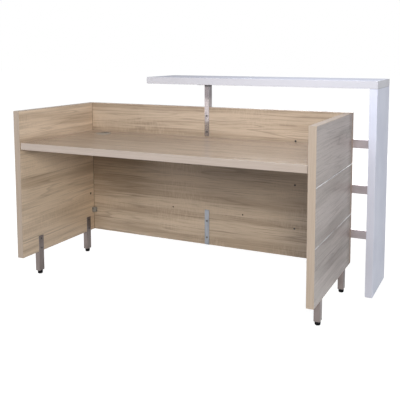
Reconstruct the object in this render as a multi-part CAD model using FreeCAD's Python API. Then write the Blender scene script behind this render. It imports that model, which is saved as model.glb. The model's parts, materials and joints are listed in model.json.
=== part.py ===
"""Reception desk with a raised counter, built as boards, tubes and fittings.

Working coordinates: x from the left panel's outer face, y from the side panels' front edges
towards the customer, z up from the floor, all in millimetres. Export moves the origin to the
middle of the floor outline.
"""
import FreeCAD
import Part
import os
from FreeCAD import Vector

# Overall sizes
OVERALL_WIDTH = 1800.0
COUNTER_HEIGHT = 1100.0
BODY_DEPTH = 685.0
COUNTER_LENGTH = 1310.0
COUNTER_DEPTH = 328.0
COUNTER_INSET = 132.0
COUNTER_CLEARANCE = 132.0
END_GAP = 106.0
PANEL_BOTTOM = 130.0
WORKTOP_DROP = 170.0

# Boards
SIDE_T = 36.0
BACK_T = 36.0
WORKTOP_T = 36.0
COUNTER_T = 38.0
BAND_T = 2.0
EDGE_ROUND = 1.0
WORKTOP_SETBACK = 6.0
WORKTOP_GAP = 3.0
INLAY_WIDTH = 4.0
INLAY_DEPTH = 1.5

# Legs and feet
TUBE_WIDTH = 30.0
TUBE_DEPTH = 40.0
TUBE_WALL = 2.0
TUBE_RADIUS = 3.0
LEG_FROM_FRONT = 148.0
LEG_FROM_BACK = 97.0
LEG_END = 20.0
TONGUE_HEIGHT = 90.0
PLUG_HEIGHT = 18.0
FOOT_RADIUS = 14.0
FOOT_HEIGHT = 18.0
FOOT_ROUND = 1.0
STEM_RADIUS = 4.0
STEM_LENGTH = 46.0
STEM_PLAY = 0.1

# Counter post, strip and bars
POST_TONGUE_HEIGHT = 165.0
HEAD_PLATE_T = 4.0
HEAD_PLATE_WIDTH = 80.0
HEAD_PLATE_DEPTH = 130.0
STRIP_WIDTH = 28.0
STRIP_HEIGHT = 206.0
STRIP_T = 2.5
BAR_HEIGHT = 45.0
BAR_DEPTH = 25.0
BAR_DROP = 163.0
BAR_SPACING = 240.0
BAR_LAP_LENGTH = 360.0
BAR_SCREW_INSET = 96.0
BAR_SCREW_SPACING = 204.0
END_PLATE_T = 3.0
END_PLATE_DEPTH = 60.0

# Cable grommet
GROMMET_FROM_SIDE = 160.0
GROMMET_FROM_BACK = 114.0
GROMMET_BORE_RADIUS = 38.0
GROMMET_FLANGE_RADIUS = 46.0
GROMMET_WALL = 2.5
GROMMET_DEPTH = 22.0
GROMMET_RISE = 4.0
CAP_RADIUS = 41.0
CAP_T = 2.4
CAP_EDGE_ROUND = 0.5
CAP_PLAY = 0.08
CAP_LIFT = 0.3
SLOT_WIDTH = 34.0
SLOT_INSET = 3.0

# Fittings
FIT_CLEARANCE = 0.05
SCREW_HEAD_RADIUS = 5.5
SCREW_HEAD_HEIGHT = 3.0
SCREW_SHANK_RADIUS = 2.5
SMALL_HEAD_RADIUS = 3.5
SMALL_HEAD_HEIGHT = 1.8
SMALL_SHANK_RADIUS = 1.6
COVER_CAP_RADIUS = 4.0
COVER_CAP_HEIGHT = 0.8
COVER_CAP_STUB_RADIUS = 2.5
COVER_CAP_SPACING = 446.0
COVER_CAP_RISE = 200.0
CAM_RADIUS = 7.5
CAM_DEPTH = 12.5
CAM_SLOT_WIDTH = 1.6
CAM_SLOT_DEPTH = 1.5
CAM_BACKSET = 34.0
CAM_RISE = 233.0
CAM_DROP = 290.0
BOLT_RADIUS = 3.0
DOWEL_RADIUS = 4.0
DOWEL_LENGTH = 30.0
DOWEL_CHAMFER = 1.0
BLOCK_WIDTH = 22.0
BLOCK_LIP = 9.0
BLOCK_HEIGHT = 30.0
BLOCK_RISE = 127.0
BRACKET_WIDTH = 30.0
BRACKET_T = 2.5
BRACKET_LENGTH = 60.0
GLIDE_RADIUS = 9.0
GLIDE_HEIGHT = 5.0

# Derived positions
BODY_LENGTH = OVERALL_WIDTH - COUNTER_T - END_GAP
MIDDLE = BODY_LENGTH / 2
RIGHT_INNER = BODY_LENGTH - SIDE_T
SIDE_DEPTH = BODY_DEPTH - BACK_T
COUNTER_UNDER = COUNTER_HEIGHT - COUNTER_T
COUNTER_LEFT = OVERALL_WIDTH - COUNTER_LENGTH
COUNTER_FRONT = BODY_DEPTH - COUNTER_INSET
COUNTER_REAR = COUNTER_FRONT + COUNTER_DEPTH
END_INNER = OVERALL_WIDTH - COUNTER_T
PANEL_TOP = COUNTER_UNDER - COUNTER_CLEARANCE
PANEL_HEIGHT = PANEL_TOP - PANEL_BOTTOM
WORKTOP_HEIGHT = PANEL_TOP - WORKTOP_DROP
WORKTOP_UNDER = WORKTOP_HEIGHT - WORKTOP_T
INLAY_LEVELS = [PANEL_BOTTOM + PANEL_HEIGHT * k / 3 for k in (1, 2)]
BAR_LEVELS = [PANEL_TOP - BAR_DROP - BAR_SPACING * k for k in range(3)]
CAM_LEVELS = [PANEL_BOTTOM + CAM_RISE, PANEL_TOP - CAM_DROP]
LEG_PLACES = [LEG_FROM_FRONT, BODY_DEPTH - LEG_FROM_BACK]
BRACKET_PLACES = [LEG_FROM_FRONT + BRACKET_LENGTH, BODY_DEPTH - LEG_FROM_BACK - BRACKET_LENGTH]
SCREW = dict(head=SCREW_HEAD_RADIUS, rise=SCREW_HEAD_HEIGHT, shank=SCREW_SHANK_RADIUS)
SMALL_SCREW = dict(head=SMALL_HEAD_RADIUS, rise=SMALL_HEAD_HEIGHT, shank=SMALL_SHANK_RADIUS)
COVER_CAP = dict(head=COVER_CAP_RADIUS, rise=COVER_CAP_HEIGHT, shank=COVER_CAP_STUB_RADIUS)
X, Y, Z = Vector(1, 0, 0), Vector(0, 1, 0), Vector(0, 0, 1)


def block(low, high):
    """A box between two corners."""
    size = [b - a for a, b in zip(low, high)]
    return Part.makeBox(*size, Vector(*low))


def band(low, high, axis, outward):
    """An edge band: a strip whose two long outer edges are rounded."""
    strip = block(low, high)
    face = (high if outward > 0 else low)[axis]
    run = max((k for k in range(3) if k != axis), key=lambda k: high[k] - low[k])

    def outer(edge):
        a, b = (v.Point for v in edge.Vertexes)
        return max(abs(a[axis] - face), abs(b[axis] - face)) < 1e-6 < abs(a[run] - b[run])

    return strip.makeFillet(EDGE_ROUND, [e for e in strip.Edges if outer(e)])


def turned(points, at, along=Z):
    """A solid of revolution from (radius, height) points, standing at a point along a direction."""
    wire = Part.makePolygon([Vector(r, 0, h) for r, h in points + points[:1]])
    solid = Part.Face(wire).revolve(Vector(), Z, 360)
    solid.Placement = FreeCAD.Placement(at, FreeCAD.Rotation(Z, along))
    return solid


def rod(low, high, radius, run=2):
    """A bar of rounded rectangular section that runs along one axis."""
    solid = block(low, high)
    ends = [[v.Point[run] for v in edge.Vertexes] for edge in solid.Edges]
    return solid.makeFillet(radius, [e for e, (a, b) in zip(solid.Edges, ends) if abs(a - b) > 1e-6])


def tube(low, high, run=2):
    """A length of rectangular steel tube, open at both ends."""
    walls = [0 if axis == run else TUBE_WALL for axis in range(3)]
    inner_low = [a + w for a, w in zip(low, walls)]
    inner_high = [b - w for b, w in zip(high, walls)]
    bore = rod(inner_low, inner_high, TUBE_RADIUS - TUBE_WALL, run)
    return rod(low, high, TUBE_RADIUS, run).cut(bore)


def screw(at, out, length, head, rise, shank):
    """A pan-head screw whose head rests at a point and faces a direction."""
    points = [(0, rise), (0.55 * head, rise), (head, 0.4 * rise), (head, 0), (shank, 0),
              (shank, -length + 2 * shank), (0, -length)]
    return turned(points, at, out)


def hole(at, out, length, radius):
    """The drilling for a screw, pin or cam that goes in against a direction."""
    return Part.makeCylinder(radius, length, at, out.negative())


class Desk:
    """Holds each finished piece by name, with the drillings its neighbours call for."""

    def __init__(self):
        self.pieces = {}
        self.cuts = {}

    def add(self, name, *solids):
        """Keeps a piece, or a group of like pieces, under one name."""
        self.pieces.setdefault(name, []).extend(solids)

    def cut(self, names, *tools):
        """Notes material to take out of the named pieces."""
        for name in names:
            self.cuts.setdefault(name, []).extend(tools)

    def fasten(self, name, through, places, length, kind):
        """Puts a screw at each place and drills the pieces that it passes through."""
        self.add(name, *(screw(at, out, length, **kind) for at, out in places))
        self.cut(through, *(hole(at, out, length, kind["shank"] + FIT_CLEARANCE) for at, out in places))

    def export(self):
        """Writes each piece, with the origin at the middle of the floor outline."""
        os.makedirs("parts", exist_ok=True)
        shift = Vector(-OVERALL_WIDTH / 2, -COUNTER_REAR / 2, 0)
        for name, solids in self.pieces.items():
            tools = self.cuts.get(name, [])
            solids = [s.cut(tools) for s in solids] if tools else solids
            solids = [s for shape in solids for s in shape.Solids]
            shape = solids[0] if len(solids) == 1 else Part.makeCompound(solids)
            shape.translated(shift).exportStep(f"parts/{name}.step")


def banded_top(desk, board, edging, low, high):
    """A flat board with bands on all four edges."""
    b = BAND_T
    (x0, y0, z0), (x1, y1, z1) = low, high
    desk.add(board, block((x0 + b, y0 + b, z0), (x1 - b, y1 - b, z1)))
    desk.add(
        edging,
        band((x0, y0, z0), (x1, y0 + b, z1), 1, -1),
        band((x0, y1 - b, z0), (x1, y1, z1), 1, 1),
        band((x0, y0 + b, z0), (x0 + b, y1 - b, z1), 0, -1),
        band((x1 - b, y0 + b, z0), (x1, y1 - b, z1), 0, 1),
    )


def inlay(desk, name, into, low, high):
    """A metal strip let flush into a face."""
    strip = block(low, high)
    desk.add(name, strip)
    desk.cut(into, strip)


def side_panels(desk):
    """The two side panels with bands on their front, top and bottom edges."""
    b, top, bottom, half = BAND_T, PANEL_TOP, PANEL_BOTTOM, INLAY_WIDTH / 2
    for side, x0, x1 in (("left", 0, SIDE_T), ("right", RIGHT_INNER, BODY_LENGTH)):
        panel = f"{side}_side_panel"
        desk.add(panel, block((x0, b, bottom + b), (x1, SIDE_DEPTH, top - b)))
        desk.add(
            f"{side}_side_edging",
            band((x0, 0, bottom), (x1, b, top), 1, -1),
            band((x0, b, top - b), (x1, SIDE_DEPTH, top), 2, 1),
            band((x0, b, bottom), (x1, SIDE_DEPTH, bottom + b), 2, -1),
        )
        face = x0 if side == "left" else x1 - INLAY_DEPTH
        for z in INLAY_LEVELS:
            inlay(desk, f"{side}_inlay_lines", [panel, "back_edging"], (face, b, z - half),
                  (face + INLAY_DEPTH, BODY_DEPTH - EDGE_ROUND, z + half))


def back_panel(desk):
    """The panel across the customer's side, its bands and its inlay lines."""
    b, top, bottom, y0, y1 = BAND_T, PANEL_TOP, PANEL_BOTTOM, SIDE_DEPTH, BODY_DEPTH
    x0, x1, half = 0, BODY_LENGTH, INLAY_WIDTH / 2
    desk.add("back_panel", block((x0 + b, y0, bottom + b), (x1 - b, y1, top - b)))
    desk.add(
        "back_edging",
        band((x0, y0, bottom), (x0 + b, y1, top), 0, -1),
        band((x1 - b, y0, bottom), (x1, y1, top), 0, 1),
        band((x0 + b, y0, top - b), (x1 - b, y1, top), 2, 1),
        band((x0 + b, y0, bottom), (x1 - b, y1, bottom + b), 2, -1),
    )
    for z in INLAY_LEVELS:
        inlay(desk, "back_inlay_lines", ["back_panel"], (x0 + b, y1 - INLAY_DEPTH, z - half),
              (x1 - b, y1, z + half))


def worktop(desk):
    """The worktop on four angle brackets, clear of the panels round it."""
    low = (SIDE_T + WORKTOP_GAP, WORKTOP_SETBACK, WORKTOP_UNDER)
    high = (RIGHT_INNER - WORKTOP_GAP, SIDE_DEPTH - WORKTOP_GAP, WORKTOP_HEIGHT)
    banded_top(desk, "worktop", "worktop_edging", low, high)
    leg, t, run, z = BRACKET_WIDTH, BRACKET_T, BRACKET_LENGTH, WORKTOP_UNDER
    for side, x, out in (("left", SIDE_T, X), ("right", RIGHT_INNER, -X)):
        for y in BRACKET_PLACES:
            angle = [(0, 0), (0, -leg), (t, -leg), (t, -t), (leg, -t), (leg, 0), (0, 0)]
            wire = Part.makePolygon([Vector(x + out.x * u, y - run / 2, z + v) for u, v in angle])
            desk.add("worktop_brackets", Part.Face(wire).extrude(Y * run))
            into_side = Vector(x, y - run / 4, z - 0.6 * leg) + out * t
            into_top = Vector(x, y + run / 4, z - t) + out * 0.6 * leg
            through = ["worktop_brackets", f"{side}_side_panel", "worktop"]
            desk.fasten("bracket_screws", through, [(into_side, out), (into_top, -Z)], WORKTOP_T / 2,
                        SMALL_SCREW)


def counter(desk):
    """The raised white counter top and the end panel that carries its right end."""
    b, y0, y1, x0, x1 = BAND_T, COUNTER_FRONT, COUNTER_REAR, END_INNER, OVERALL_WIDTH
    banded_top(desk, "counter_top", "counter_top_edging", (COUNTER_LEFT, y0, COUNTER_UNDER),
               (x1, y1, COUNTER_HEIGHT))
    z0, z1 = GLIDE_HEIGHT, COUNTER_UNDER
    desk.add("counter_end_panel", block((x0, y0 + b, z0 + b), (x1, y1 - b, z1)))
    desk.add(
        "end_panel_edging",
        band((x0, y0, z0), (x1, y0 + b, z1), 1, -1),
        band((x0, y1 - b, z0), (x1, y1, z1), 1, 1),
        band((x0, y0 + b, z0), (x1, y1 - b, z0 + b), 2, -1),
    )
    middle_x, middle_y, third = (x0 + x1) / 2, (y0 + y1) / 2, COUNTER_DEPTH / 3
    r, h = GLIDE_RADIUS, GLIDE_HEIGHT
    dome = [(0, 0), (0.7 * r, 0), (r, 0.4 * h), (r, h), (0, h)]
    for k in (-1, 1):
        desk.add("end_panel_glides", turned(dome, Vector(middle_x, middle_y + k * third, 0)))
    for k in (-1, 0, 1):
        seam = Vector(middle_x, middle_y + k * third, COUNTER_UNDER)
        dowel(desk, "counter_dowels", seam, Z, ["counter_top", "counter_end_panel"])
    for k in (-0.5, 0.5):
        place = Vector(x0, middle_y + k * third, COUNTER_UNDER - CAM_BACKSET)
        cam(desk, "counter", place, -X, Z, COUNTER_T, ["counter_end_panel", "counter_top"])


def dowel(desk, name, middle, along, into):
    """A wooden dowel half in each of two boards."""
    r, half, c = DOWEL_RADIUS, DOWEL_LENGTH / 2, DOWEL_CHAMFER
    ends = [(0, -half), (r - c, -half), (r, c - half), (r, half - c), (r - c, half), (0, half)]
    desk.add(name, turned(ends, middle, along))
    desk.cut(into, Part.makeCylinder(r + FIT_CLEARANCE, 2 * half, middle - along * half, along))


def cam(desk, name, at, out, towards, board, into):
    """A cam lock let into a face, and the bolt that it draws from the next board."""
    r, deep, arm, half = CAM_RADIUS, CAM_DEPTH, 0.7 * CAM_RADIUS, CAM_SLOT_WIDTH / 2
    cross = block((-arm, -half, -CAM_SLOT_DEPTH), (arm, half, 0))
    cross = cross.fuse(block((-half, -arm, -CAM_SLOT_DEPTH), (half, arm, 0)))
    cross.Placement = FreeCAD.Placement(at, FreeCAD.Rotation(Z, out))
    desk.add(f"{name}_cams", hole(at, out, deep, r).cut(cross))
    pocket = r + FIT_CLEARANCE
    desk.cut(into[:1], hole(at, out, deep, pocket))
    axis, reach = at - out * (deep / 2), CAM_BACKSET + 0.4 * board
    bolt = Part.makeCylinder(BOLT_RADIUS, reach - pocket, axis + towards * pocket, towards)
    desk.add(f"{name}_cam_bolts", bolt)
    desk.cut(into, Part.makeCylinder(BOLT_RADIUS + FIT_CLEARANCE, reach, axis, towards))


def legs(desk):
    """Four tube legs with a screwed tongue each, their plugs and their levelling feet."""
    half, z1, top = TUBE_DEPTH / 2, PANEL_BOTTOM, PANEL_BOTTOM + TONGUE_HEIGHT
    for side, face, out in (("left", SIDE_T, X), ("right", RIGHT_INNER, -X)):
        inner, outer = face + out.x * TUBE_WALL, face + out.x * (TUBE_WALL - TUBE_WIDTH)
        x0, x1 = sorted((inner, outer))
        under0, under1 = sorted((outer, face))
        for end, y in zip(("front", "rear"), LEG_PLACES):
            name = f"{side}_{end}_leg"
            whole = tube((x0, y - half, LEG_END), (x1, y + half, top))
            desk.add(name, whole.cut(block((under0, y - half, z1), (under1, y + half, top))))
            places = [(Vector(inner, y, z1 + k * TONGUE_HEIGHT), out) for k in (0.2, 0.8)]
            desk.fasten("leg_screws", [name, f"{side}_side_panel"], places, 0.7 * SIDE_T, SCREW)
            foot(desk, f"{side}_{end}", (x0 + x1) / 2, y)


def foot(desk, name, x, y):
    """The plug in a leg's open end, and the foot whose stem runs in the plug."""
    half_x, half_y = TUBE_WIDTH / 2 - TUBE_WALL, TUBE_DEPTH / 2 - TUBE_WALL
    plug = rod((x - half_x, y - half_y, LEG_END), (x + half_x, y + half_y, LEG_END + PLUG_HEIGHT),
               TUBE_RADIUS - TUBE_WALL)
    at, r, h, s, c = Vector(x, y, 0), FOOT_RADIUS, FOOT_HEIGHT, STEM_RADIUS, FOOT_ROUND
    thread = Part.makeCylinder(s + STEM_PLAY, PLUG_HEIGHT, at + Z * LEG_END)
    desk.add(f"{name}_leg_plug", plug.cut(thread))
    socket, tip = 0.5 * h, STEM_LENGTH
    base = [(0, 0), (0.85 * r, 0), (0.95 * r, 0.12 * h), (r, 0.4 * h), (r, h - c), (r - c, h), (s, h),
            (s, socket), (0, socket)]
    desk.add(f"{name}_foot_base", turned(base, at))
    stem = [(0, socket), (s, socket), (s, tip - c), (s - c, tip), (0, tip)]
    desk.add(f"{name}_foot_stem", turned(stem, at))


def post(desk):
    """The post under the counter's middle, its head plate, and the strip low on the back panel."""
    x0, x1 = MIDDLE - TUBE_WIDTH / 2, MIDDLE + TUBE_WIDTH / 2
    y0, y1 = SIDE_DEPTH - TUBE_WALL, SIDE_DEPTH - TUBE_WALL + TUBE_DEPTH
    low, high = PANEL_TOP - POST_TONGUE_HEIGHT, COUNTER_UNDER - HEAD_PLATE_T
    whole = tube((x0, y0, low), (x1, y1, high))
    desk.add("counter_post", whole.cut(block((x0, SIDE_DEPTH, low), (x1, y1, PANEL_TOP))))
    places = [(Vector(MIDDLE, y0, low + k * POST_TONGUE_HEIGHT), -Y) for k in (0.15, 0.7)]
    desk.fasten("post_screws", ["counter_post", "back_panel"], places, 0.7 * BACK_T, SCREW)
    middle, half_x, half_y = (y0 + y1) / 2, HEAD_PLATE_WIDTH / 2, HEAD_PLATE_DEPTH / 2
    desk.add("post_head_plate", rod((MIDDLE - half_x, middle - half_y, high),
                                    (MIDDLE + half_x, middle + half_y, COUNTER_UNDER), TUBE_RADIUS))
    places = [(Vector(MIDDLE + i * 0.7 * half_x, middle + j * 0.8 * half_y, high), -Z)
              for i in (-1, 1) for j in (-1, 1)]
    desk.fasten("head_plate_screws", ["post_head_plate", "counter_top"], places, 0.6 * COUNTER_T,
                SMALL_SCREW)
    half, face = STRIP_WIDTH / 2, SIDE_DEPTH - STRIP_T
    desk.add("back_strip", block((MIDDLE - half, face, PANEL_BOTTOM),
                                 (MIDDLE + half, SIDE_DEPTH, PANEL_BOTTOM + STRIP_HEIGHT)))
    places = [(Vector(MIDDLE, face, PANEL_BOTTOM + k * STRIP_HEIGHT), -Y) for k in (0.21, 0.68)]
    desk.fasten("strip_screws", ["back_strip", "back_panel"], places, 0.7 * BACK_T, SCREW)


def bars(desk):
    """Three bars on the customer's face of the back panel, reaching across to the end panel."""
    w, y0, y1 = TUBE_WALL, BODY_DEPTH, BODY_DEPTH + BAR_DEPTH
    x0, x1 = BODY_LENGTH - BAR_LAP_LENGTH, END_INNER - END_PLATE_T
    outer_x = BODY_LENGTH - BAR_SCREW_INSET
    plate_y = y0 + (BAR_DEPTH + END_PLATE_DEPTH) / 2
    for name, z in zip(("upper", "middle", "lower"), BAR_LEVELS):
        low, high = z - BAR_HEIGHT / 2, z + BAR_HEIGHT / 2
        desk.add(f"{name}_bar", tube((x0, y0, low), (x1, y1, high), run=0))
        desk.add("bar_plugs", rod((x0, y0 + w, low + w), (x0 + PLUG_HEIGHT, y1 - w, high - w),
                                  TUBE_RADIUS - w, run=0))
        desk.add("bar_end_plates", block((x1, y0, low), (END_INNER, y0 + END_PLATE_DEPTH, high)))
        places = [(Vector(outer_x - k * BAR_SCREW_SPACING, SIDE_DEPTH, z), -Y) for k in (0, 1)]
        desk.fasten("bar_screws", ["back_panel", f"{name}_bar"], places, BACK_T + 0.6 * BAR_DEPTH, SCREW)
        places = [(Vector(x1, plate_y, z + k * BAR_HEIGHT / 4), -X) for k in (-1, 1)]
        desk.fasten("end_plate_screws", ["bar_end_plates", "counter_end_panel"], places,
                    0.6 * COUNTER_T, SMALL_SCREW)


def joinery(desk):
    """Cams, dowels and corner blocks between the side panels and the back panel, and cover caps."""
    w, lip, z = BLOCK_WIDTH, BLOCK_LIP, PANEL_BOTTOM + BLOCK_RISE
    for side, face, out in (("left", SIDE_T, X), ("right", RIGHT_INNER, -X)):
        boards = [f"{side}_side_panel", "back_panel"]
        for level in CAM_LEVELS:
            cam(desk, "panel", Vector(face, SIDE_DEPTH - CAM_BACKSET, level), out, Y, BACK_T, boards)
        for level in (PANEL_BOTTOM + 0.1 * PANEL_HEIGHT, PANEL_TOP - 0.1 * PANEL_HEIGHT):
            seam = Vector(face - out.x * SIDE_T / 2, SIDE_DEPTH, level)
            dowel(desk, "panel_dowels", seam, Y, boards)
        name = f"{side}_corner_block"
        plan = [(0, 0), (w, 0), (w, lip), (lip, w), (0, w), (0, 0)]
        wire = Part.makePolygon([Vector(face + out.x * u, SIDE_DEPTH - v, z - BLOCK_HEIGHT / 2)
                                 for u, v in plan])
        desk.add(name, Part.Face(wire).extrude(Z * BLOCK_HEIGHT))
        across = (Vector(face + out.x * w, SIDE_DEPTH - lip / 2, z - BLOCK_HEIGHT / 4), out)
        back = (Vector(face + out.x * lip / 2, SIDE_DEPTH - w, z + BLOCK_HEIGHT / 4), -Y)
        desk.fasten("block_screws", [name] + boards, [across, back], w + 0.5 * BACK_T, SMALL_SCREW)
    caps = [(Vector(MIDDLE + k * COVER_CAP_SPACING, SIDE_DEPTH, PANEL_BOTTOM + COVER_CAP_RISE), -Y)
            for k in (-0.5, 0.5)]
    desk.fasten("cover_caps", ["back_panel"], caps, 0.4 * BACK_T, COVER_CAP)


def grommet(desk):
    """The cable grommet: a liner pressed into the worktop and a cap that turns in it."""
    at = Vector(SIDE_T + GROMMET_FROM_SIDE, SIDE_DEPTH - GROMMET_FROM_BACK, WORKTOP_HEIGHT)
    bore, wall, rise, seat = GROMMET_BORE_RADIUS, GROMMET_WALL, GROMMET_RISE, GROMMET_RISE - CAP_T
    inner, flange, depth = bore - wall, GROMMET_FLANGE_RADIUS, GROMMET_DEPTH
    liner = [(inner, -depth), (bore, -depth), (bore, 0), (flange, 0), (flange, 0.4 * rise),
             (flange - 0.6 * rise, rise), (CAP_RADIUS, rise), (CAP_RADIUS, seat), (inner, seat)]
    desk.add("grommet_liner", turned(liner, at))
    desk.cut(["worktop"], Part.makeCylinder(bore, WORKTOP_T, at - Z * WORKTOP_T))
    low, high, rim, c = seat + CAP_LIFT, rise + CAP_LIFT, CAP_RADIUS - CAP_PLAY, CAP_EDGE_ROUND
    spigot, skirt = inner - CAP_PLAY, -0.3 * depth
    cap = [(0, low), (spigot - wall, low), (spigot - wall, skirt), (spigot, skirt),
           (spigot, low), (rim, low), (rim, high - c), (rim - c, high), (0, high)]
    notch = block((-SLOT_WIDTH / 2, SLOT_INSET, -depth), (SLOT_WIDTH / 2, flange, rise + CAP_T))
    desk.add("grommet_cap", turned(cap, at).cut(notch.translated(at)))


def main():
    """Builds every piece and writes one file for each."""
    desk = Desk()
    for build in (side_panels, back_panel, worktop, counter, legs, post, bars, joinery, grommet):
        build(desk)
    desk.export()


main()
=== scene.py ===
"""Looks of a reception desk: oak-print boards, a white counter, satin steel tube and small fittings.

Boards, tubes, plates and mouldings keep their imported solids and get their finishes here. Screws, levelling
feet and welds are surfaces worked out here, with their recesses, threads, ribs and beads. Lengths are in
metres.
"""
import json
import logging
import math
from dataclasses import dataclass, replace
from enum import Enum

import bpy
import numpy as np
from bpy.types import ID, Material, Node, NodeTree, Object
from bpy.types import NodeSocket as Socket
from mathutils import Matrix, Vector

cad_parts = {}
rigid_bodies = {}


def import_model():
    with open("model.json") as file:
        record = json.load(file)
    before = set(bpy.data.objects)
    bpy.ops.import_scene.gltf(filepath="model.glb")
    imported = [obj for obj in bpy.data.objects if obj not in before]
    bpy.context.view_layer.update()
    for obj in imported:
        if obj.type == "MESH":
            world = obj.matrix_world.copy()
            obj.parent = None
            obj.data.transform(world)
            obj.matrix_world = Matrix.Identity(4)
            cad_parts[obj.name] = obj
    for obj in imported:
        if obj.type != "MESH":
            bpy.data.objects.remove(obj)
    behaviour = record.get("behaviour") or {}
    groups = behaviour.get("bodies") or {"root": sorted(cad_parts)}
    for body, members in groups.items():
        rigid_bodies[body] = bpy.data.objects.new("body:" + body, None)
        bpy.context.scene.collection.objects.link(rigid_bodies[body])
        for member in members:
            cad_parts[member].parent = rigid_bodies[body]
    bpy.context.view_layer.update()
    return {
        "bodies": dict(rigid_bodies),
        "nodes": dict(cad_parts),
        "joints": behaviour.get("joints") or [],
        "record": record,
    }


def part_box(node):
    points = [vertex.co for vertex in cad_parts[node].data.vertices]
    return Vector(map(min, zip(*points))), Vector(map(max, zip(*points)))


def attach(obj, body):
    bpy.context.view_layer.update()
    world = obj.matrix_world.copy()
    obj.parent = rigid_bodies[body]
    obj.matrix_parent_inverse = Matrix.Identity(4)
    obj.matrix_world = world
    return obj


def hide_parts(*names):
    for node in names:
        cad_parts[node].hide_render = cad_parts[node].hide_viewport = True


LOG = logging.getLogger("reception_desk")
IMAGE_PIXELS = 400.0
WHITE = (1.0, 1.0, 1.0, 1.0)
SMOOTH_ANGLE = math.radians(35)
PLACES_PER_METRE = 1e5
TOLERANCE = 1e-6
CORNERS = ("left_front", "left_rear", "right_front", "right_rear")
BARS = ("upper_bar", "middle_bar", "lower_bar")

Colour = tuple[float, float, float]
Point = tuple[float, float, float]
Value = Socket | float
Triple = Socket | Colour | Point
Array = np.ndarray
Sockets = bpy.types.bpy_prop_collection


class Axis(Enum):
    """A direction of the frame, by its place in a point."""

    X = 0
    Y = 1
    Z = 2


class Reading(Enum):
    """What a material reads of the spot that it colours."""

    PLACE = "Object"
    FACING = "Normal"


class Effect(Enum):
    """A pattern that several finishes share, by its group's name."""

    OAK_FIGURE = "oak_figure"
    BRUSHING = "brushing"
    MOULDING = "moulding"
    HANDLING = "handling"


@dataclass(frozen=True)
class Joint:
    """A line where two boards meet, across a direction at a level.

    It shows on all faces, or only on those that look one way. Its dark colour is partly the seam and partly
    painted shade where the boards meet.
    """

    across: Axis
    level: float
    facing: Point | None = None


@dataclass(frozen=True)
class Bore:
    """An upright bore, with the width over which its mask fades out."""

    axis: tuple[float, float]
    radius: float
    blur: float = 0.0005


class Tree:
    """A node tree that is filled by short calls."""

    MIX_COLOURS = (6, 7)
    MIX_RESULT = 2

    def __init__(self, tree: NodeTree) -> None:
        """Keeps the tree to fill."""
        self.tree = tree

    def give(self, socket: Socket, value: object) -> None:
        """Joins a socket to an input, or sets the input's value."""
        if isinstance(value, Socket):
            self.tree.links.new(value, socket)
        else:
            socket.default_value = value

    def add(self, kind: str, inputs: dict | None = None, **settings: object) -> Node:
        """Adds a node.

        Args:
            kind: the node's type, without its Shader Node prefix.
            inputs: values or sockets for the node's inputs, by name or place.
            settings: the node's own properties.

        Returns:
            The new node.
        """
        node = self.tree.nodes.new(f"ShaderNode{kind}")
        for name, value in settings.items():
            setattr(node, name, value)
        for name, value in (inputs or {}).items():
            self.give(node.inputs[name], value)
        return node

    def math(self, operation: str, *values: Value) -> Socket:
        """One step of arithmetic on up to three values; returns the result's socket."""
        return self.add("Math", dict(enumerate(values)), operation=operation).outputs[0]

    def ramp(self, value: Socket, low: float, high: float, start: float = 0.0, end: float = 1.0) -> Socket:
        """A smooth step of a value from start to end between two levels; returns its socket."""
        sockets = {"Value": value, "From Min": low, "From Max": high, "To Min": start, "To Max": end}
        return self.add("MapRange", sockets, interpolation_type="SMOOTHSTEP").outputs["Result"]

    def blend(self, share: Value, first: Triple, second: Triple, mode: str = "MIX") -> Socket:
        """Two colours mixed by a share; returns the colour's socket."""
        node = self.add("Mix", {"Factor": share}, data_type="RGBA", blend_type=mode)
        for place, paint in zip(self.MIX_COLOURS, (first, second)):
            self.give(node.inputs[place], paint if isinstance(paint, Socket) else (*paint, 1.0))
        return node.outputs[self.MIX_RESULT]

    def vector(self, operation: str, *values: Triple) -> Sockets:
        """One step of arithmetic on one or two points; returns the result's sockets."""
        return self.add("VectorMath", dict(enumerate(values)), operation=operation).outputs

    def noise(
        self, where: Socket, scale: Value | Point, detail: float = 2.0, rough: float = 0.5
    ) -> Socket:
        """Fractal noise from 0 to 1 at a point, scaled as a whole or by coordinate; returns its socket."""
        if isinstance(scale, tuple):
            where, scale = self.vector("MULTIPLY", where, scale)[0], 1.0
        sockets = {"Vector": where, "Scale": scale, "Detail": detail, "Roughness": rough}
        return self.add("TexNoise", sockets).outputs["Fac"]


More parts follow.
